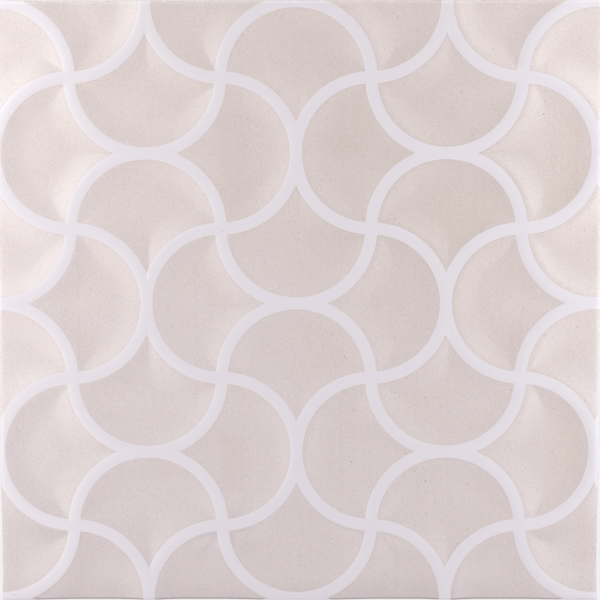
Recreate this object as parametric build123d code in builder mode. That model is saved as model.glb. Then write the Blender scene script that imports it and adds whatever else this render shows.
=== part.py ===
# Embossed tile: one square fired slab, face up, with a fish-scale relief.
# Ridges along circular arcs part the face into dished scales that turn by quarters.
# Millimetres, +Z up; the back rests on Z = 0 and the origin is under the middle.
import os
from math import radians, tan
from build123d import *

# slab
tile_side = 300.0  # overall, both ways
tile_thickness = 10.0  # back ribs to ridge tops
arris_width = 0.6  # how far the sides draw in at the level of the ridge tops
arris_height = 3.6  # height of that drawn-in band, from the ridge tops down
back_bevel = 1.2  # bevel round the back, from the press mould

# fish-scale relief
scales_across = 4  # whole scale lengths along one side of the tile
relief_depth = 2.4  # ridge tops down to the flat floor of a scale
ridge_flat_width = 2.4  # flat left along the middle of a ridge
crown_width = 3.8  # eased shoulder on each side of that flat
crown_slope = 10.0  # degrees
flank_width = 4.4  # steepest part of a ridge's side
flank_slope = 14.5  # degrees
sweep_slope = 8.0  # degrees, gentle foot that runs out to the floor
cutter_headroom = 5.0  # height of the scale cutter above the ridge tops

# back: shallow square keys for the adhesive, with flat ribs between them
keys_across = 6  # keys along one side of the tile
key_size = 38.0  # side of one square key
key_depth = 0.8  # depth of a key into the back
key_margin = 9.0  # plain border round the field of keys

# turns about the upright axis, in degrees
quarter_turn = 90
half_turn = 180

# worked out from the sizes above
scale_pitch = tile_side / scales_across
arc_radius = scale_pitch / 2
half_side = tile_side / 2
key_pitch = (tile_side - 2 * key_margin) / keys_across

# section of a ridge's side: run outward from its middle line, fall below its top
crown_run = ridge_flat_width / 2
flank_run = crown_run + crown_width
sweep_run = flank_run + flank_width
flank_fall = crown_width * tan(radians(crown_slope))
sweep_fall = flank_fall + flank_width * tan(radians(flank_slope))
floor_run = sweep_run + (relief_depth - sweep_fall) / tan(radians(sweep_slope))
mound_base = -2 * relief_depth  # anywhere below the floor of a scale


# half section through a ridge's side: inward (-1) it bounds a dish, outward (+1) a mound
def ridge_section(direction, base_level):
    lead = (arc_radius + direction * crown_run, cutter_headroom)
    crown = (arc_radius + direction * crown_run, 0)
    flank = (arc_radius + direction * flank_run, -flank_fall)
    sweep = (arc_radius + direction * sweep_run, -sweep_fall)
    floor = (arc_radius + direction * floor_run, -relief_depth)
    with BuildLine() as section:
        Polyline(lead, crown, flank, sweep, floor, (0, base_level), (0, cutter_headroom), lead)
    return section.line


# one scale as a cutter: round end to +Y, tip to -Y, axis of the round end at the origin;
# a turned dish, less the two turned mounds that hollow its other side
with BuildPart() as scale_cutter:
    with BuildSketch(Plane.XZ) as dish_half:
        add(ridge_section(-1, -relief_depth))
        make_face()
    revolve(axis=Axis.Z)
    for side in (-arc_radius, arc_radius):
        neighbour = Plane((side, -arc_radius, 0), x_dir=(1, 0, 0), z_dir=(0, -1, 0))
        with BuildSketch(neighbour) as mound_half:
            add(ridge_section(1, mound_base))
            make_face()
        revolve(axis=Axis((side, -arc_radius, 0), (0, 0, 1)), mode=Mode.SUBTRACT)

# a scale lies on every grid line between neighbouring crossings, from edge to edge,
# and turns its round end the other way on every second one
crossings = [step * scale_pitch - half_side for step in range(scales_across + 1)]
middles = [start + arc_radius for start in crossings[:-1]]
upright_places = [
    Location((x, y, tile_thickness), (0, 0, half_turn * ((column + row + 1) % 2)))
    for column, x in enumerate(crossings)
    for row, y in enumerate(middles)
]
level_places = [
    Location((x, y, tile_thickness), (0, 0, quarter_turn + half_turn * ((column + row + 1) % 2)))
    for column, x in enumerate(middles)
    for row, y in enumerate(crossings)
]

with BuildPart() as tile:
    with BuildSketch() as outline:
        Rectangle(tile_side, tile_side)
    extrude(amount=tile_thickness)
    back = tile.faces().sort_by(Axis.Z)[0]
    chamfer(back.edges(), length=back_bevel)
    face = tile.faces().sort_by(Axis.Z)[-1]
    chamfer(face.edges(), length=arris_width, length2=arris_height, reference=face)
    with Locations(*upright_places, *level_places):
        add(scale_cutter.part, mode=Mode.SUBTRACT)
    with BuildSketch() as keys:
        with GridLocations(key_pitch, key_pitch, keys_across, keys_across):
            Rectangle(key_size, key_size)
    extrude(amount=key_depth, mode=Mode.SUBTRACT)

tile.part.label = "tile"
os.makedirs("parts", exist_ok=True)
export_step(tile.part, "parts/tile.step")
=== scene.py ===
import math
import bmesh
import bpy
import numpy as np
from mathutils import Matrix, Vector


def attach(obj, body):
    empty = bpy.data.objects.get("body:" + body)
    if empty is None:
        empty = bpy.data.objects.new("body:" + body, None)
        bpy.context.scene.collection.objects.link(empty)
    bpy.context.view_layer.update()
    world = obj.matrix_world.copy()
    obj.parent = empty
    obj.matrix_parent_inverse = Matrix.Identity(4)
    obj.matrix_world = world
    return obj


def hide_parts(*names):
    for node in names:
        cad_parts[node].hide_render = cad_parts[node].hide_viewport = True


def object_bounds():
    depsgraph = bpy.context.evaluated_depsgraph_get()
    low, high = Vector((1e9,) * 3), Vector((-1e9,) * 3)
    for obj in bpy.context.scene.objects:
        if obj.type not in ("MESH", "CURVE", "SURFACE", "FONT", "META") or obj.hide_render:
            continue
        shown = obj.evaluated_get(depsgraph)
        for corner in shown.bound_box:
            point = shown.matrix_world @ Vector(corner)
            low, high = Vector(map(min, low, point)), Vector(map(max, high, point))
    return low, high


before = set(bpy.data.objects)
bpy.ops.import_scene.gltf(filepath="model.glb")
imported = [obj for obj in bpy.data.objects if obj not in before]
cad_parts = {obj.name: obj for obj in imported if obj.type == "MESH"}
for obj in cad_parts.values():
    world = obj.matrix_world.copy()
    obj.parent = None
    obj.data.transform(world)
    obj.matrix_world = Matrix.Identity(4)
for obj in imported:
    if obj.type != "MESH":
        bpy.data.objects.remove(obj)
cadLow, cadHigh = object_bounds()
scene = bpy.context.scene
scene.view_settings.view_transform = "Standard"

mm = 0.001  # the scene is in metres, sizes below are in millimetres
tiny = 1e-6  # closer than this counts as the same place
tileSide = cadHigh.x - cadLow.x
tileTop = cadHigh.z
halfSide = tileSide / 2
scalesAcross = 4
pitch = tileSide / scalesAcross
arcRadius = pitch / 2
print("frame loaded, tile side", round(tileSide / mm, 1), "mm")

# the pressed and fired tile

relief = {
    "depth": 2.4 * mm,  # ridge tops down to the floor of a scale
    "crownFlat": 0.9 * mm,  # half of the flat along a ridge
    "crownRadius": 15.8 * mm,  # convex rounding of a ridge
    "flankSlope": math.radians(14.6),  # where the crown turns into the dish
    "valleyPool": 0.5 * mm,  # glaze that softens the valley between two flanks
    "ripple": 0.03 * mm,  # slow unevenness of the fired glaze
    "waves": ((61, 23, 1.3), (-37, 71, 0.4), (113, -89, 2.2)),  # its rates per metre and starts
    "arcSteps": 24,  # mesh steps along a quarter arc
    "crownSteps": 8,
    "dishSteps": 14,
    "floorSteps": 5,
}

rim = {
    "arris": 0.6 * mm,  # rounding of the glazed edge
    "easeBand": 3.0 * mm,  # strip beside the edge that makes room for it
    "arrisSteps": 6,
    "cornerSteps": 6,
    "backBevel": 1.2 * mm,
    "wallRows": 5,
    "weld": 0.02 * mm,  # mesh points closer than this are joined
    "sharp": math.radians(35.0),  # edges steeper than this stay crisp
}

keying = {
    "across": 6,  # square keys along one side of the back
    "size": 38.0 * mm,
    "depth": 0.8 * mm,
    "margin": 9.0 * mm,  # plain border round the field of keys
    "corner": 2.5 * mm,
    "draft": 0.4 * mm,
    "cornerSteps": 6,
}

printing = {
    "lineWidth": 6.15 * mm,  # white line along a ridge
    "shift": (-1.28 * mm, 0.31 * mm),  # the print sits a little off the relief
    "shrink": 0.9948,
}


# fall below the ridge top at a run from the ridge's middle: flat, convex arc, concave arc, flat
crownSine = relief["crownRadius"] * math.sin(relief["flankSlope"])
crownFall = relief["crownRadius"] * (1 - math.cos(relief["flankSlope"]))
dishRadius = (relief["depth"] - crownFall) / (1 - math.cos(relief["flankSlope"]))
dishSine = dishRadius * math.sin(relief["flankSlope"])
crownEnd = relief["crownFlat"] + crownSine
dishEnd = crownEnd + dishSine


def ridgeFall(run):
    over = np.clip(run - relief["crownFlat"], 0, crownSine)
    below = np.clip(dishEnd - run, 0, dishSine)
    crown = relief["crownRadius"] - np.sqrt(relief["crownRadius"] ** 2 - over ** 2)
    dish = relief["depth"] - dishRadius + np.sqrt(dishRadius ** 2 - below ** 2)
    return np.where(run < crownEnd, crown, dish)


# lesser of two falls, eased where they are close and the valley is deep
def pooledFall(one, other):
    least = np.minimum(one, other)
    pool = relief["valleyPool"] * np.clip(least / relief["depth"], 1e-3, 1)
    close = np.clip(pool - np.abs(one - other), 0, None)
    return least - close ** 2 / (4 * pool)


# right half of a scale's outline, moved inward by each run: u across, v along the axis from the tip;
# a hollow quarter arc about (R, 0) from tip to corner, then a round one about (0, R) to the end
def halfOutline(run):
    run = np.asarray(run)[:, None]
    share = np.linspace(0, 1, relief["arcSteps"] + 1)[None, :]
    cornerV = run + (arcRadius + np.sqrt(arcRadius ** 2 - 2 * run ** 2)) / 2
    cornerU = cornerV - 2 * run
    hollowStart = np.arccos(-arcRadius / (arcRadius + run))
    hollowEnd = np.arctan2(cornerV, cornerU - arcRadius)
    roundStart = np.arctan2(cornerV - arcRadius, cornerU)
    hollow = hollowStart + (hollowEnd - hollowStart) * share
    full = roundStart + (math.pi / 2 - roundStart) * share[:, 1:]
    u = np.hstack([arcRadius + (arcRadius + run) * np.cos(hollow), (arcRadius - run) * np.cos(full)])
    v = np.hstack([(arcRadius + run) * np.sin(hollow), arcRadius + (arcRadius - run) * np.sin(full)])
    return u, v


# where half scales lie: one on each side of every grid line between neighbouring crossings
def halfScalePlaces():
    step, crossing, upright, side = (
        part.ravel()
        for part in np.meshgrid(
            np.arange(scalesAcross), np.arange(scalesAcross + 1), [0, 1], [-1, 1], indexing="ij"
        )
    )
    forward = (step + crossing + upright + 1) % 2  # 1 where the tip is at the start of the grid line
    axis = np.where(forward, 1, -1)
    tip = (step + 1 - forward) * pitch - halfSide
    across = crossing * pitch - halfSide
    tipX, tipY = np.where(upright, across, tip), np.where(upright, tip, across)
    axisX, axisY = np.where(upright, 0, axis), np.where(upright, axis, 0)
    sideX, sideY = axisY * side, -axisX * side
    reach = np.maximum(abs(tipX + sideX * mm), abs(tipY + sideY * mm))
    inside = reach < halfSide + mm / 2
    return [part[inside][:, None, None] for part in (tipX, tipY, axisX, axisY, sideX, sideY, side)]


# grid faces between rows and columns of vertices numbered row by row
def gridQuads(rows, columns, first=0):
    r, c = np.meshgrid(np.arange(rows - 1), np.arange(columns - 1), indexing="ij")
    corner = first + (r * columns + c).ravel()
    return np.stack([corner, corner + 1, corner + columns + 1, corner + columns], 1)


# slow unevenness from a few crossed waves, between 0 and 1
def glazeRipple(x, y):
    waves = sum(np.sin(rateX * x + rateY * y + begin) for rateX, rateY, begin in relief["waves"])
    count = len(relief["waves"])
    return (waves + count) / (2 * count)


def easedIn(place):
    start = halfSide - rim["easeBand"]
    over = np.clip(np.abs(place) - start, 0, None)
    kept = 1 - rim["arris"] / rim["easeBand"]
    return np.sign(place) * (np.minimum(np.abs(place), start) + over * kept)


# the face: half scales as grids, rows at growing run from the ridge, then shrinking onto the
# middle of the floor
def faceSurface():
    runs = np.concatenate([
        np.linspace(0, crownEnd, relief["crownSteps"] + 1),
        np.linspace(crownEnd, dishEnd, relief["dishSteps"] + 1)[1:],
    ])
    u, v = halfOutline(runs)
    middleV = (v[-1, 0] + v[-1, -1]) / 2
    shrink = np.linspace(1, 0, relief["floorSteps"] + 1)[1:, None]
    u = np.vstack([u, u[-1] * shrink])
    v = np.vstack([v, middleV + (v[-1] - middleV) * shrink])
    tipX, tipY, axisX, axisY, sideX, sideY, side = halfScalePlaces()
    x = easedIn(tipX + sideX * u + axisX * v)
    y = easedIn(tipY + sideY * u + axisY * v)
    u = (x - tipX) * sideX + (y - tipY) * sideY  # again, after easing
    v = (x - tipX) * axisX + (y - tipY) * axisY
    roundFall = ridgeFall(np.abs(arcRadius - np.hypot(u, v - arcRadius)))
    nearFall = ridgeFall(np.abs(np.hypot(u - arcRadius, v) - arcRadius))
    farFall = ridgeFall(np.abs(np.hypot(u + arcRadius, v) - arcRadius))
    fall = pooledFall(pooledFall(nearFall, farFall), roundFall)
    z = tileTop - fall - relief["ripple"] * glazeRipple(x, y)
    verts = np.stack([x, y, z], -1)
    count, rows, columns = x.shape
    quads = gridQuads(rows, columns)[None] + (np.arange(count) * rows * columns)[:, None, None]
    turned = side[:, :, 0] < 0
    quads = np.where(turned[:, :, None], quads[:, :, ::-1], quads)
    return verts.reshape(-1, 3), quads.reshape(-1, 4)


# points of a square loop in order round it: place along the loop from 0 to 4, starting low on the right
def loopPlace(x, y, half):
    right, top, left = x > half - tiny, y > half - tiny, x < -half + tiny
    along = np.select(
        [right & ~top, top & ~left, left & (y > -half + tiny)],
        [y + half, 2 * half + half - x, 4 * half + half - y],
        6 * half + x + half,
    )
    return along / (2 * half)


# the rim: the face's border carried out over the arris, down the wall and in under the back
def rimSurface(faceVerts):
    half = halfSide - rim["arris"]
    onBorder = np.maximum(np.abs(faceVerts[:, 0]), np.abs(faceVerts[:, 1])) > half - tiny
    border = faceVerts[onBorder]
    place = loopPlace(border[:, 0], border[:, 1], half)
    _, first = np.unique(np.round(place, 6), return_index=True)
    border, place = border[first], place[first]
    corner = np.isclose(place, np.round(place), atol=tiny)
    turn = np.linspace(0, 1, rim["cornerSteps"] + 1)
    repeats = np.where(corner, len(turn), 1)
    source = np.repeat(np.arange(len(place)), repeats)
    base = border[source]
    angle = np.floor(place + tiny)[source] * math.pi / 2
    order = np.arange(len(source)) - np.repeat(np.cumsum(repeats) - repeats, repeats)
    angle = angle - np.where(corner[source], (1 - turn[order]) * math.pi / 2, 0)
    swing = np.linspace(0, math.pi / 2, rim["arrisSteps"] + 1)
    out = rim["arris"] * np.sin(swing)
    drop = rim["arris"] * (1 - np.cos(swing))
    arrisZ = base[:, 2][None] - drop[:, None]
    sink = np.linspace(0, 1, rim["wallRows"] + 1)[1:, None]
    wallZ = arrisZ[-1] + (rim["backBevel"] - arrisZ[-1]) * sink
    z = np.vstack([arrisZ, wallZ, np.zeros((1, len(base)))])
    out = np.concatenate([out, np.full(rim["wallRows"], rim["arris"]), [0]])[:, None]
    x = base[:, 0] + out * np.cos(angle)
    y = base[:, 1] + out * np.sin(angle)
    verts = np.stack([x, y, z], -1)
    verts = np.concatenate([verts, verts[:, :1]], 1)  # close the loop
    rows, columns = verts.shape[:2]
    quads = gridQuads(rows, columns)[:, ::-1]
    glazed = np.repeat(np.arange(rows - 1) < rim["arrisSteps"], columns - 1)
    return verts.reshape(-1, 3), quads, glazed, verts[-1]


# the field of keys on the back: rounded squares carried down from each cell's own square
def keySurface():
    cell = (tileSide - 2 * keying["margin"]) / keying["across"]
    quarter = np.linspace(0, math.pi / 2, keying["cornerSteps"] + 1)
    angle = (quarter[None] + np.arange(4)[:, None] * math.pi / 2).ravel()
    cornerX = np.repeat(np.sign(np.cos(math.pi / 4 + np.arange(4) * math.pi / 2)), len(quarter))
    cornerY = np.repeat(np.sign(np.sin(math.pi / 4 + np.arange(4) * math.pi / 2)), len(quarter))

    def roundedSquare(half, radius):
        straight = half - radius
        return straight * cornerX + radius * np.cos(angle), straight * cornerY + radius * np.sin(angle)

    mouthX, mouthY = roundedSquare(keying["size"] / 2, keying["corner"])
    footX, footY = roundedSquare(keying["size"] / 2 - keying["draft"], keying["corner"] - keying["draft"])
    grow = cell / 2 / np.maximum(np.abs(mouthX), np.abs(mouthY))
    x = np.stack([mouthX * grow, mouthX, footX])
    y = np.stack([mouthY * grow, mouthY, footY])
    z = np.array([0, 0, keying["depth"]])[:, None] * np.ones(len(angle))
    ring = np.stack([x, y, z], -1)
    ring = np.concatenate([ring, ring[:, :1]], 1)
    spots = (np.arange(keying["across"]) - (keying["across"] - 1) / 2) * cell
    spotX, spotY = (part.ravel() for part in np.meshgrid(spots, spots))
    centre = np.stack([spotX, spotY, np.zeros(len(spotX))], -1)
    verts = ring[None] + centre[:, None, None]
    count, rows, columns = verts.shape[:3]
    shift = (np.arange(count) * rows * columns)[:, None]
    quads = gridQuads(rows, columns)[None, :, ::-1] + shift[:, :, None]
    floors = (np.arange((rows - 1) * columns, rows * columns - 1)[::-1])[None] + shift
    edge = verts[:, 0].reshape(-1, 3)
    half = keying["across"] * cell / 2
    edge = edge[np.maximum(np.abs(edge[:, 0]), np.abs(edge[:, 1])) > half - tiny]
    return verts.reshape(-1, 3), quads.reshape(-1, 4), floors, edge, half


# triangles between two loops on the back, taken in order of the middles of their steps
def stitchedLoops(outer, outerHalf, inner, innerHalf):
    def ordered(points, half):
        place = loopPlace(points[:, 0], points[:, 1], half)
        place, first = np.unique(np.round(place, 6), return_index=True)
        return np.append(place, 4), np.vstack([points[first], points[first[:1]]])

    outerPlace, outer = ordered(outer, outerHalf)
    innerPlace, inner = ordered(inner, innerHalf)
    outerMiddle = (outerPlace[1:] + outerPlace[:-1]) / 2
    innerMiddle = (innerPlace[1:] + innerPlace[:-1]) / 2
    o, i = np.arange(len(outerMiddle)), np.arange(len(innerMiddle))
    count = len(outer)
    outward = np.stack([o + 1, o, count + np.searchsorted(innerMiddle, outerMiddle)], 1)
    inward = np.stack([count + i, count + i + 1, np.searchsorted(outerMiddle, innerMiddle)], 1)
    return np.vstack([outer, inner]), np.vstack([outward, inward])


def buildTile():
    face, faceQuads = faceSurface()
    wall, wallQuads, wallGlazed, backLoop = rimSurface(face)
    keys, keyQuads, keyFloors, keyEdge, keyHalf = keySurface()
    back, backTriangles = stitchedLoops(backLoop, halfSide - rim["arris"], keyEdge, keyHalf)
    verts = np.vstack([face, wall, keys, back])
    starts = np.cumsum([0, len(face), len(wall), len(keys)])
    faces = [
        *(faceQuads + starts[0]).tolist(),
        *(wallQuads + starts[1]).tolist(),
        *(keyQuads + starts[2]).tolist(),
        *(keyFloors + starts[2]).tolist(),
        *(backTriangles + starts[3]).tolist(),
    ]
    bare = len(keyQuads) + len(keyFloors) + len(backTriangles)
    material = np.concatenate([np.zeros(len(faceQuads)), ~wallGlazed, np.ones(bare)]).astype(np.int32)
    mesh = bpy.data.meshes.new("glazedTile")
    mesh.from_pydata(verts.tolist(), [], faces)
    mesh.polygons.foreach_set("material_index", material)
    mesh.polygons.foreach_set("use_smooth", np.ones(len(faces), bool))
    joined = bmesh.new()
    joined.from_mesh(mesh)
    bmesh.ops.remove_doubles(joined, verts=joined.verts, dist=rim["weld"])
    joined.to_mesh(mesh)
    joined.free()
    mesh.set_sharp_from_angle(angle=rim["sharp"])
    piece = bpy.data.objects.new("glazedTile", mesh)
    scene.collection.objects.link(piece)
    return piece


tile = buildTile()
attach(tile, "root")
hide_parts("tile")
checked = bmesh.new()
checked.from_mesh(tile.data)
openEdges = sum(not edge.is_manifold for edge in checked.edges)
checked.free()
print("tile mesh:", len(tile.data.polygons), "faces,", openEdges, "open edges")

# materials


def shaderNode(tree, kind, values=None, **settings):
    node = tree.nodes.new(kind)
    for name, value in settings.items():
        setattr(node, name, value)
    for name, value in (values or {}).items():
        feed(tree, value, node.inputs[name])
    return node


def feed(tree, value, socket):  # a wire from another socket, or a plain value
    if isinstance(value, bpy.types.NodeSocket):
        tree.links.new(value, socket)
    else:
        socket.default_value = value


def reckon(tree, operation, one, other=0.0):
    node = shaderNode(tree, "ShaderNodeMath", operation=operation)
    feed(tree, one, node.inputs[0])
    feed(tree, other, node.inputs[1])
    return node.outputs[0]


def added(tree, total, *others):
    for other in others:
        total = reckon(tree, "ADD", total, other)
    return total


def times(tree, product, *others):
    for other in others:
        product = reckon(tree, "MULTIPLY", product, other)
    return product


def less(tree, one, other):
    return reckon(tree, "SUBTRACT", one, other)


def ramped(tree, value, start, end, low=0.0, high=1.0):  # smooth step from start to end
    node = shaderNode(tree, "ShaderNodeMapRange", interpolation_type="SMOOTHSTEP")
    names = ("Value", "From Min", "From Max", "To Min", "To Max")
    for name, given in zip(names, (value, start, end, low, high)):
        feed(tree, given, node.inputs[name])
    return node.outputs["Result"]


def blended(tree, share, one, other, kind="MIX"):
    node = shaderNode(tree, "ShaderNodeMix", data_type="RGBA", blend_type=kind)
    feed(tree, share, node.inputs[0])
    feed(tree, one, node.inputs[6])
    feed(tree, other, node.inputs[7])
    return node.outputs[2]


def noiseAt(tree, place, scale, detail=2.0, roughness=0.5):
    node = shaderNode(tree, "ShaderNodeTexNoise", {
        "Vector": place, "Scale": scale, "Detail": detail, "Roughness": roughness,
    })
    return node.outputs[0]


def stretched(tree, place, scale, location=(0.0, 0.0, 0.0)):
    node = shaderNode(tree, "ShaderNodeMapping", {"Vector": place, "Scale": scale, "Location": location})
    return node.outputs[0]


def newMaterial(name):
    material = bpy.data.materials.new(name)
    material.use_nodes = True
    tree = material.node_tree
    place = shaderNode(tree, "ShaderNodeTexCoord").outputs["Object"]
    return material, tree, tree.nodes["Principled BSDF"], place


pinholes = {
    "smallest": 0.4,  # share of the full size
    "core": 0.4,  # share of a pinhole that is at its full depth
    "shallowest": 0.25,  # share of the full depth
}


# fine grain shared by glaze and bare body: sand-sized mottle and scattered pinholes
def firedGrainGroup():
    group = bpy.data.node_groups.new("firedGrain", "ShaderNodeTree")
    for name, kind in (("Place", "NodeSocketVector"), ("Grain Scale", "NodeSocketFloat"),
                       ("Pit Scale", "NodeSocketFloat"), ("Pit Size", "NodeSocketFloat"),
                       ("Pit Share", "NodeSocketFloat")):
        group.interface.new_socket(name=name, in_out="INPUT", socket_type=kind)
    for name in ("Grain", "Pits"):
        group.interface.new_socket(name=name, in_out="OUTPUT", socket_type="NodeSocketFloat")
    inside = shaderNode(group, "NodeGroupInput")
    outside = shaderNode(group, "NodeGroupOutput")
    grain = noiseAt(group, inside.outputs["Place"], inside.outputs["Grain Scale"], 1.0)
    cells = shaderNode(group, "ShaderNodeTexVoronoi", {
        "Vector": inside.outputs["Place"], "Scale": inside.outputs["Pit Scale"],
    }, voronoi_dimensions="2D")
    luck = shaderNode(group, "ShaderNodeSeparateColor", {"Color": cells.outputs["Color"]})
    share = ramped(group, luck.outputs[1], 0.0, 1.0, pinholes["smallest"], 1.0)
    size = times(group, inside.outputs["Pit Size"], share)
    near = ramped(group, cells.outputs["Distance"], size, times(group, size, pinholes["core"]))
    chosen = reckon(group, "LESS_THAN", luck.outputs[0], inside.outputs["Pit Share"])
    feed(group, grain, outside.inputs["Grain"])
    depth = ramped(group, luck.outputs[2], 0.0, 1.0, pinholes["shallowest"], 1.0)
    feed(group, times(group, near, chosen, depth), outside.inputs["Pits"])
    return group


firedGrain = firedGrainGroup()


def grainOf(tree, place, values):
    node = shaderNode(tree, "ShaderNodeGroup", node_tree=firedGrain)
    feed(tree, place, node.inputs["Place"])
    for name, value in values.items():
        feed(tree, value, node.inputs[name])
    return node.outputs["Grain"], node.outputs["Pits"]


# distance from the nearest printed line: places are folded into one pitch, where two of four arcs count
def printedRun(tree, x, y):
    step = pitch * printing["shrink"]
    folded = []
    for axis, shift in zip((x, y), printing["shift"]):
        start = shift - step * scalesAcross / 2
        moved = reckon(tree, "DIVIDE", less(tree, axis, start), step)
        folded.append(reckon(tree, "PINGPONG", moved, 1.0))
    across, along = folded
    fromSide = less(tree, across, reckon(tree, "GREATER_THAN", along, 0.5))
    fromEnd = less(tree, along, reckon(tree, "LESS_THAN", across, 0.5))
    runs = []
    for u, v in ((fromSide, less(tree, along, 0.5)), (less(tree, across, 0.5), fromEnd)):
        reach = reckon(tree, "POWER", added(tree, times(tree, u, u), times(tree, v, v)), 0.5)
        runs.append(reckon(tree, "ABSOLUTE", less(tree, reach, 0.5)))
    return times(tree, reckon(tree, "MINIMUM", *runs), step)


noiseRange = (0.3, 0.7)  # where most values of a noise lie
grainRange = (0.2, 0.8)
bandCore = 0.3  # share of a soft band that is at its full strength


# square of the distance from a place on the face
def spread(tree, x, y, placeX, placeY):
    offX = less(tree, x, placeX)
    offY = less(tree, y, placeY)
    return added(tree, times(tree, offX, offX), times(tree, offY, offY))


# soft band of 1 where a value is within a half width of a place
def bandAt(tree, value, place, halfWidth):
    off = reckon(tree, "ABSOLUTE", less(tree, value, place))
    return ramped(tree, off, halfWidth, halfWidth * bandCore)


# soft spot of 1, with its place and half size in millimetres
def spotAt(tree, x, y, place, halfSize):
    across = bandAt(tree, x, place[0] * mm, halfSize[0] * mm)
    along = bandAt(tree, y, place[1] * mm, halfSize[1] * mm)
    return times(tree, across, along)


glaze = {
    "white": (0.762, 0.715, 0.767, 1.0),  # opaque white glaze on the ridges
    "beige": (0.679, 0.603, 0.615, 1.0),  # printed scales, cooler
    "beigeWarm": (0.683, 0.602, 0.582, 1.0),  # printed scales, warmer
    "edgeTint": (0.655, 0.562, 0.535, 1.0),  # thin warm rim of the print
    "edgeTintEnds": (0.7 * mm, 0.1 * mm),  # where that rim fades in and where it is full
    "stain": (0.690, 0.575, 0.515, 1.0),  # rusty patches of the print
    "lean": (1.6, 2.2),  # how fast the print warms to the right and to the top, per metre
    "leftSheen": 0.06,  # painted sheen: how much paler the print is made toward the left, where the left lamps reflect off the glaze
    "leftSheenFrom": (45.0 * mm, 195.0 * mm),  # where that painted sheen starts and how far it takes
    "patch": ((64.0 * mm, 56.0 * mm), 84.0 * mm),  # thicker, warmer print: place and reach
    "patchDarker": 0.045,
    "patchWarmer": 0.4,
    "dense": 0.03,  # clouding of the print
    "woven": 0.006,  # crossed hatching in the print
    "feather": 0.12 * mm,
    "ragged": 0.20 * mm,  # how far the print's edge wanders
    "bareEdge": 0.45 * mm,  # strip along the tile's edge that takes no print
    "bareFeather": 0.3 * mm,
    "grain": (0.063, 0.080, 0.094),  # swing of the ink's grain in red, green and blue
    "fleck": 0.03,  # swing between warm and cool flecks
    "speck": 0.20,  # how dark the small specks of the ink are
    "sideHighlight": (2.8 * mm, 0.10),  # painted highlight along the sides, where the rolled edge faces the lamps: width and how much paler
    "sideHighlightFrom": (-110.0 * mm, -40.0 * mm),  # where that fades in, up the tile
    "endHighlight": (2.5 * mm, 0.13),  # the same painted highlight along the far edge
    "rolledEdge": (0.38, 1.2 * mm),  # slope of the glaze at the sides, and how soon it dies away
    "roughness": 0.33,
    "roughSwing": 0.05,
    "relief": (0.2, 0.1 * mm),  # strength and depth of grain and pinholes in the light
    "grainRelief": 0.2,  # share of the grain in that
    "ior": 1.79,  # hard, bright glaze
}

inkPatterns = {  # scales are per metre
    "edge": 1400.0,
    "clouds": 22.0,
    "brushed": (260.0, 3.0, 1.0),  # fine streaks down the tile
    "weft": (12.0, 110.0, 1.0),
    "warp": (420.0, 30.0, 1.0),
    "crossed": (0.7, 1.3),  # range of weft and warp together
    "mottle": (0.85, 0.15),  # shares of clouds and brushed streaks in the clouding
    "stainAndShadeSwing": (0.85, 1.1),  # how far the brushed streaks break up the print stains and the patches of painted shade
    "pinholes": {"Grain Scale": 1500.0, "Pit Scale": 190.0, "Pit Size": 0.10, "Pit Share": 0.34},
    "specks": {"Grain Scale": 1700.0, "Pit Scale": 520.0, "Pit Size": 0.21, "Pit Share": 0.28},
    "speckShift": (0.3, 0.2, 0.1),  # keeps the specks clear of the pinholes' pattern
}

pitting = {  # pinholes lie mostly in the print, more on the right and most low on the right
    "colour": (0.300, 0.250, 0.240, 1.0),
    "left": 0.25,
    "right": 0.55,
    "between": (-60.0 * mm, 50.0 * mm),
    "most": ((52.0 * mm, -60.0 * mm), 70.0 * mm, 0.35),  # place, reach, how much more
    "onWhite": 0.3,
}

stainsAndShade = (  # soft patches: warm ones are stains in the print, ones that only darken are painted shade; place and half size in mm, how much darker, how much warmer
    ((134, -70), (13, 30), 0.030, 0.35),
    ((133, 68), (15, 36), 0.045, 0.30),
    ((146, -112), (12, 34), 0.045, 0.20),
    ((105, -21), (13, 20), 0.035, 0.25),
    ((-31, 74), (17, 42), 0.040, 0.25),
    ((-32, -80), (10, 20), 0.030, 0.20),
    ((84, 40), (36, 34), 0.015, 0.20),
    ((22, 90), (24, 26), 0.035, 0.15),
    # painted shade: a darker patch low in the middle, below a ridge's lower flank
    ((-36, -118), (22, 22), 0.045, 0.0),
    ((-106, 120), (20, 22), 0.020, 0.15),
    ((4, 128), (30, 18), 0.020, 0.10),
    # painted shade: the next three darken the lower left edge and corner, the bottom edge and a patch of
    # the left edge
    ((-148, -122), (14, 42), 0.050, 0.05),
    ((60, -146), (70, 12), 0.025, 0.0),
    ((-148, 103), (13, 20), 0.065, 0.0),
)

marks = {  # single marks on the face: place and half size in mm, colour, share
    "run": ((-75.2, 14.1), (0.45, 2.8), (0.95, 0.93, 0.95, 1.0), 0.80),  # painted highlight: a bright glint on the white ridge
    "ash": ((-38.0, 36.4), (0.7, 0.5), (0.38, 0.36, 0.37, 1.0), 0.45),
    "rust": ((-99.5, -123.1), (0.6, 0.5), (0.62, 0.36, 0.25, 1.0), 0.70),
    "dot": ((121.2, 94.0), (0.6, 0.6), (0.22, 0.16, 0.14, 1.0), 0.60),
    "dull": ((-144.3, -147.3), (1.6, 1.0), (0.62, 0.59, 0.64, 1.0), 0.50),
}

streaks = {  # faint print lines down the tile
    "places": (-33.3 * mm, 21.0 * mm, 74.8 * mm, 135.0 * mm, -110.0 * mm),
    "halfWidth": 0.9 * mm,
    "darker": 0.015,
}

footShade = {  # painted shade: a dark line under the dishes of the near edge, where the edge turns away from the lamps
    "colour": (0.28, 0.22, 0.23, 1.0),
    "line": (1.3 * mm, 0.4 * mm, 0.85),  # where it starts, where it is full, how strong it is
    "shade": (13.0 * mm, 0.3 * mm, 0.16),  # softer painted shade above it
    "onWhite": 0.2,
    "onPrint": 0.75,
}

halfLine = printing["lineWidth"] / 2


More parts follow.
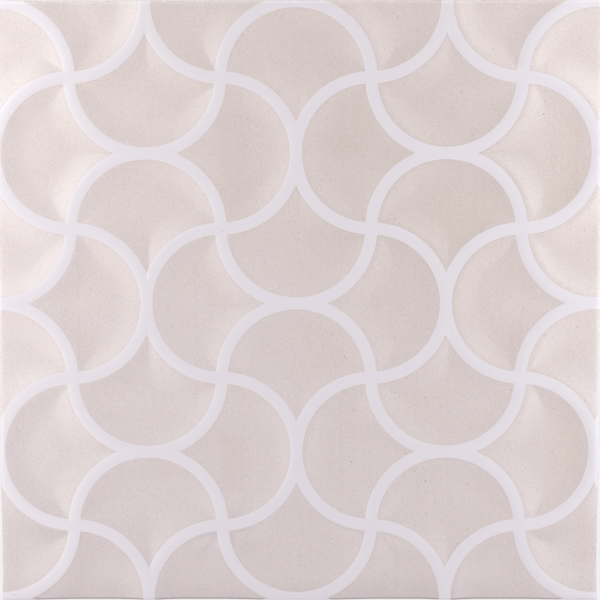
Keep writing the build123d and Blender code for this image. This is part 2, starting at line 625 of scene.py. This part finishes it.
# where the ink lies: past the half width of a white line, and not on the very edge of the tile
def inkMask(tree, place, x, y):
    wander = times(tree, less(tree, noiseAt(tree, place, inkPatterns["edge"]), 0.5), glaze["ragged"])
    run = added(tree, printedRun(tree, x, y), wander)
    ink = ramped(tree, run, halfLine - glaze["feather"], halfLine + glaze["feather"])
    reach = reckon(tree, "MAXIMUM", reckon(tree, "ABSOLUTE", x), reckon(tree, "ABSOLUTE", y))
    inkEnd = halfSide - glaze["bareEdge"]
    printEnd = ramped(tree, added(tree, reach, wander), inkEnd, inkEnd + glaze["bareFeather"], 1.0, 0.0)
    return run, times(tree, ink, printEnd)


# how much darker and how much warmer the print stains and the patches of painted shade make the print
def stainAndShadeShares(tree, x, y, ragged):
    darkened = warmed = 0.0
    for place, halfSize, darker, warmer in stainsAndShade:
        # warm patches are stains in the print, patches that only darken are painted shade
        stain = times(tree, spotAt(tree, x, y, place, halfSize), ragged)
        darkened = added(tree, darkened, times(tree, stain, darker))
        warmed = added(tree, warmed, times(tree, stain, warmer))
    return darkened, warmed


# colour of the print: warmer toward the top right, made paler toward the left as a painted sheen,
# clouded, stained, darkened in some patches as painted shade, hatched and streaked down the tile
def inkColour(tree, place, x, y, run):
    clouds = noiseAt(tree, place, inkPatterns["clouds"], 3.0, 0.55)
    brushed = noiseAt(tree, stretched(tree, place, inkPatterns["brushed"]), 1.0, 3.0, 0.6)
    (patchX, patchY), patchReach = glaze["patch"]
    patch = ramped(tree, spread(tree, x, y, patchX, patchY), patchReach ** 2, 0.0)
    lean = added(tree, times(tree, x, glaze["lean"][0]), times(tree, y, glaze["lean"][1]))
    warm = added(tree, lean, clouds, times(tree, patch, glaze["patchWarmer"]))
    ragged = ramped(tree, brushed, *noiseRange, *inkPatterns["stainAndShadeSwing"])
    darkened, warmed = stainAndShadeShares(tree, x, y, ragged)
    colour = blended(tree, warm, glaze["beige"], glaze["beigeWarm"])
    colour = blended(tree, warmed, colour, glaze["stain"])
    fadeIn, full = glaze["edgeTintEnds"]
    tinted = ramped(tree, run, halfLine + fadeIn, halfLine + full)
    colour = blended(tree, tinted, colour, glaze["edgeTint"])

    # painted sheen: the print is made paler toward the left, in the upper part of the tile
    leftSheenStart, leftSheenReach = glaze["leftSheenFrom"]
    aside = reckon(tree, "DIVIDE", less(tree, leftSheenStart, x), leftSheenReach)
    aside = times(tree, aside, aside, ramped(tree, y, -halfSide, 0.0))
    strength = less(tree, times(tree, aside, glaze["leftSheen"]), times(tree, patch, glaze["patchDarker"]))
    cloudShare, brushedShare = inkPatterns["mottle"]
    mottle = added(tree, times(tree, clouds, cloudShare), times(tree, brushed, brushedShare))
    half = glaze["dense"] / 2
    strength = added(tree, strength, ramped(tree, mottle, *noiseRange, 1.0 + half, 1.0 - half))
    weft = noiseAt(tree, stretched(tree, place, inkPatterns["weft"]), 1.0, 2.0)
    warp = noiseAt(tree, stretched(tree, place, inkPatterns["warp"]), 1.0, 1.0)
    crossed = added(tree, weft, warp)
    hatched = ramped(tree, crossed, *inkPatterns["crossed"], -glaze["woven"], glaze["woven"])
    strength = added(tree, less(tree, strength, darkened), hatched)
    for streak in streaks["places"]:
        faint = times(tree, bandAt(tree, x, streak, streaks["halfWidth"]), streaks["darker"])
        strength = less(tree, strength, faint)
    return blended(tree, 1.0, colour, strength, "MULTIPLY")


# grain of the print: paler and deeper ink, warm and cool flecks, small dark specks
def grainedInk(tree, colour, grain, tint, specks):
    speckled = less(tree, 1.0, times(tree, specks, glaze["speck"]))
    colour = blended(tree, 1.0, colour, speckled, "MULTIPLY")
    thin, thick = ([1.0 + way * swing for swing in glaze["grain"]] + [1.0] for way in (1, -1))
    depth = blended(tree, ramped(tree, grain, *grainRange), thick, thin)
    colour = blended(tree, 1.0, colour, depth, "MULTIPLY")
    cool, warm = ((1.0 - way * glaze["fleck"], 1.0, 1.0 + way * glaze["fleck"], 1.0) for way in (1, -1))
    flecked = blended(tree, ramped(tree, tint, *grainRange), cool, warm)
    return blended(tree, 1.0, colour, flecked, "MULTIPLY")


def pittedGlaze(tree, colour, pits, ink, x, y):
    thick = ramped(tree, x, *pitting["between"], pitting["left"], pitting["right"])
    (mostX, mostY), mostReach, more = pitting["most"]
    most = ramped(tree, spread(tree, x, y, mostX, mostY), mostReach ** 2, 0.0, 0.0, more)
    thick = added(tree, thick, most)
    pitted = times(tree, pits, thick, ramped(tree, ink, 0.0, 1.0, pitting["onWhite"], 1.0))
    return blended(tree, pitted, colour, pitting["colour"])


# single marks, one of them a painted highlight; the painted shade of the dark line along the foot; and
# the painted highlight that makes the glaze paler along the sides and the far edge
def markedGlaze(tree, colour, x, y, run, fromSide):
    for place, halfSize, mark, share in marks.values():
        colour = blended(tree, times(tree, spotAt(tree, x, y, place, halfSize), share), colour, mark)
    # painted shade: the dark line along the near edge and the softer darkening above it
    nearFoot = added(tree, y, halfSide)
    dark, soft = (
        ramped(tree, nearFoot, begin, full, 0.0, strength)
        for begin, full, strength in (footShade["line"], footShade["shade"])
    )
    where = ramped(tree, run, halfLine - mm, halfLine + mm, footShade["onWhite"], footShade["onPrint"])
    colour = blended(tree, times(tree, added(tree, dark, soft), where), colour, footShade["colour"])
    # painted highlight: paler glaze along the sides and the far edge
    sideWidth, sidePaler = glaze["sideHighlight"]
    endWidth, endPaler = glaze["endHighlight"]
    side = ramped(tree, fromSide, sideWidth, 0.0, 0.0, sidePaler)
    side = times(tree, side, ramped(tree, y, *glaze["sideHighlightFrom"]))
    end = ramped(tree, y, halfSide - endWidth, halfSide, 1.0, 1.0 + endPaler)
    return blended(tree, 1.0, colour, added(tree, end, side), "MULTIPLY")


def satinGlaze():
    material, tree, shader, place = newMaterial("satinGlaze")
    axes = shaderNode(tree, "ShaderNodeSeparateXYZ", {"Vector": place})
    x, y = axes.outputs[0], axes.outputs[1]
    fromSide = less(tree, halfSide, reckon(tree, "ABSOLUTE", x))
    run, ink = inkMask(tree, place, x, y)
    grain, pits = grainOf(tree, place, inkPatterns["pinholes"])
    shifted = stretched(tree, place, (1, 1, 1), inkPatterns["speckShift"])
    tint, specks = grainOf(tree, shifted, inkPatterns["specks"])
    colour = grainedInk(tree, inkColour(tree, place, x, y, run), grain, tint, specks)
    colour = blended(tree, ink, glaze["white"], colour)
    colour = pittedGlaze(tree, colour, pits, ink, x, y)
    feed(tree, markedGlaze(tree, colour, x, y, run, fromSide), shader.inputs["Base Color"])
    smoothest, roughest = (glaze["roughness"] + way * glaze["roughSwing"] for way in (-1, 1))
    feed(tree, ramped(tree, grain, 0.0, 1.0, smoothest, roughest), shader.inputs["Roughness"])

    # the glaze rolls off at the sides: its fall dies away as an exponential of the way in from the edge
    slope, reach = glaze["rolledEdge"]
    fall = reckon(tree, "EXPONENT", reckon(tree, "DIVIDE", fromSide, -reach))
    fall = times(tree, fall, -slope * reach)
    rolled = shaderNode(tree, "ShaderNodeBump", {"Height": fall, "Distance": 1.0})
    height = less(tree, times(tree, grain, glaze["grainRelief"]), pits)
    strength, depth = glaze["relief"]
    bump = shaderNode(tree, "ShaderNodeBump", {
        "Height": height, "Strength": strength, "Distance": depth, "Normal": rolled.outputs[0],
    })
    feed(tree, bump.outputs[0], shader.inputs["Normal"])
    shader.inputs["IOR"].default_value = glaze["ior"]
    return material


body = {
    "clay": (0.80, 0.755, 0.69, 1.0),  # pale pressed body
    "clayDeep": (0.70, 0.645, 0.57, 1.0),
    "pit": (0.42, 0.36, 0.30, 1.0),
    "pitDepth": 0.5,
    "grain": {"Grain Scale": 1100.0, "Pit Scale": 260.0, "Pit Size": 0.10, "Pit Share": 0.2},
    "clouds": 30.0,  # scale per metre
    "mottle": (0.7, 0.3),  # shares of clouds and grain in the clay's unevenness
    "relief": (0.5, 0.15 * mm),  # strength and depth of grain and pits in the light
    "glazeRun": (0.80, 0.765, 0.78, 1.0),  # glaze carried a little way down the sides
    "runDepth": 3.6 * mm,
    "runRagged": (90.0, 3.0 * mm),  # scale per metre and swing of the glaze's lower end
    "runFeather": 0.2 * mm,
    "roughness": 0.85,
}


def firedBody():
    material, tree, shader, place = newMaterial("firedBody")
    x, y, level = shaderNode(tree, "ShaderNodeSeparateXYZ", {"Vector": place}).outputs
    slanted = shaderNode(tree, "ShaderNodeCombineXYZ", {
        "X": added(tree, x, level), "Y": added(tree, y, level), "Z": level,
    }).outputs[0]  # keeps the pits round on the walls as on the back
    grain, pits = grainOf(tree, slanted, body["grain"])
    clouds = noiseAt(tree, place, body["clouds"], 4.0, 0.6)
    cloudShare, grainShare = body["mottle"]
    mottle = added(tree, times(tree, clouds, cloudShare), times(tree, grain, grainShare))
    colour = blended(tree, ramped(tree, mottle, *noiseRange), body["clay"], body["clayDeep"])
    colour = blended(tree, times(tree, pits, body["pitDepth"]), colour, body["pit"])
    runScale, runSwing = body["runRagged"]
    ragged = times(tree, less(tree, noiseAt(tree, place, runScale, 2.0), 0.5), runSwing)
    runEnd = tileTop - body["runDepth"]
    feather = body["runFeather"]
    glazed = ramped(tree, added(tree, level, ragged), runEnd - feather, runEnd + feather)
    feed(tree, blended(tree, glazed, colour, body["glazeRun"]), shader.inputs["Base Color"])
    rough = ramped(tree, glazed, 0.0, 1.0, body["roughness"], glaze["roughness"])
    feed(tree, rough, shader.inputs["Roughness"])
    strength, depth = body["relief"]
    bump = shaderNode(tree, "ShaderNodeBump", {
        "Height": less(tree, grain, pits), "Strength": strength, "Distance": depth,
    })
    feed(tree, bump.outputs[0], shader.inputs["Normal"])
    return material


tile.data.materials.append(satinGlaze())
tile.data.materials.append(firedBody())
print("materials done")

# stage, light and camera

stage = {
    "floor": (0.70, 0.68, 0.72, 1.0),
    "paper": (0.94, 0.935, 0.95, 1.0),  # how the floor looks where no lamp is near
    "paperShare": 0.8,  # of that in what the floor shows, the rest is light and shadow
    "floorSize": 20.0,
    "floorRoughness": 0.9,
    "skyColour": (1.05, 0.96, 0.935, 1.0),
    "sky": 0.165,
}

lamps = {  # distance from the middle, height, bearing in degrees, power, colour
    "leftLowUpper": (0.40, 0.20, 150.0, 0.65, (0.95, 1.0, 0.97)),
    "leftLow": (0.40, 0.20, 180.0, 0.28, (0.90, 1.0, 0.95)),
    "rightLowUpper": (0.40, 0.20, 30.0, 0.56, (0.97, 1.0, 1.0)),
    "rightLow": (0.40, 0.20, 0.0, 0.44, (0.93, 1.0, 1.0)),
    "leftHighUpper": (0.40, 0.55, 150.0, 0.50, (0.98, 0.96, 1.0)),
    "leftHighLower": (0.40, 0.55, 210.0, 0.40, (1.0, 0.98, 0.95)),
    "rightHighUpper": (0.40, 0.55, 30.0, 0.20, (0.90, 0.94, 1.0)),
    "rightHighLower": (0.40, 0.55, 330.0, 0.29, (0.98, 0.98, 1.0)),
    "leftFar": (0.60, 0.35, 210.0, 0.64, (1.0, 0.96, 0.94)),
    "rightFar": (0.60, 0.35, 330.0, 0.60, (0.98, 0.97, 1.0)),
    "front": (0.60, 0.35, 270.0, 0.98, (0.97, 0.93, 1.0)),
    "back": (0.60, 0.90, 60.0, 0.41, (1.0, 0.95, 0.97)),
    "backLow": (0.40, 0.20, 90.0, 0.12, (1.0, 0.82, 0.70)),
}
lampSize = 0.30

camera = {
    "lens": 114.70,
    "sensor": 36.0,
    "nearest": 0.01,
    "place": (7.44 * mm, 84.63 * mm, 958.12 * mm),
    "turn": (-4.980, 0.402, -0.107),  # degrees
}

floorMesh = bpy.data.meshes.new("floor")
floorX, floorY = np.meshgrid([-0.5, 0.5], [-0.5, 0.5])
floorCorners = np.stack([floorX.ravel(), floorY.ravel(), np.zeros(4)], 1) * stage["floorSize"]
floorMesh.from_pydata(floorCorners.tolist(), [], [(0, 1, 3, 2)])
floor = bpy.data.objects.new("floor", floorMesh)
scene.collection.objects.link(floor)
floorMaterial, floorTree, floorShader, _ = newMaterial("paleFloor")
floorShader.inputs["Base Color"].default_value = stage["floor"]
floorShader.inputs["Roughness"].default_value = stage["floorRoughness"]
sight = shaderNode(floorTree, "ShaderNodeLightPath")
seen = reckon(floorTree, "MAXIMUM", sight.outputs["Is Camera Ray"], sight.outputs["Is Glossy Ray"])
seen = reckon(floorTree, "MAXIMUM", seen, sight.outputs["Is Transmission Ray"])
paper = shaderNode(floorTree, "ShaderNodeEmission", {"Color": stage["paper"]})
shown = shaderNode(floorTree, "ShaderNodeMixShader")
paperShare = times(floorTree, seen, stage["paperShare"])
for socket, given in zip(shown.inputs, (paperShare, floorShader.outputs[0], paper.outputs[0])):
    feed(floorTree, given, socket)
feed(floorTree, shown.outputs[0], floorTree.nodes["Material Output"].inputs["Surface"])
floorMesh.materials.append(floorMaterial)

world = bpy.data.worlds.new("studio")
scene.world = world
world.use_nodes = True
world.node_tree.nodes["Background"].inputs["Color"].default_value = stage["skyColour"]
world.node_tree.nodes["Background"].inputs["Strength"].default_value = stage["sky"]

for name, (distance, height, bearing, power, colour) in lamps.items():
    light = bpy.data.lights.new(name, "AREA")
    light.shape = "SQUARE"
    light.size = lampSize
    light.energy = power
    light.color = colour
    lamp = bpy.data.objects.new(name, light)
    scene.collection.objects.link(lamp)
    turn = math.radians(bearing)
    lamp.location = (distance * math.cos(turn), distance * math.sin(turn), height)
    lamp.rotation_euler = (math.atan2(distance, height), 0, turn + math.pi / 2)

eye = bpy.data.objects.new("camera", bpy.data.cameras.new("camera"))
scene.collection.objects.link(eye)
eye.data.lens = camera["lens"]
eye.data.sensor_width = camera["sensor"]
eye.location = camera["place"]
eye.rotation_euler = [math.radians(angle) for angle in camera["turn"]]
eye.data.clip_start = camera["nearest"]
scene.camera = eye
print("stage, light and camera done")
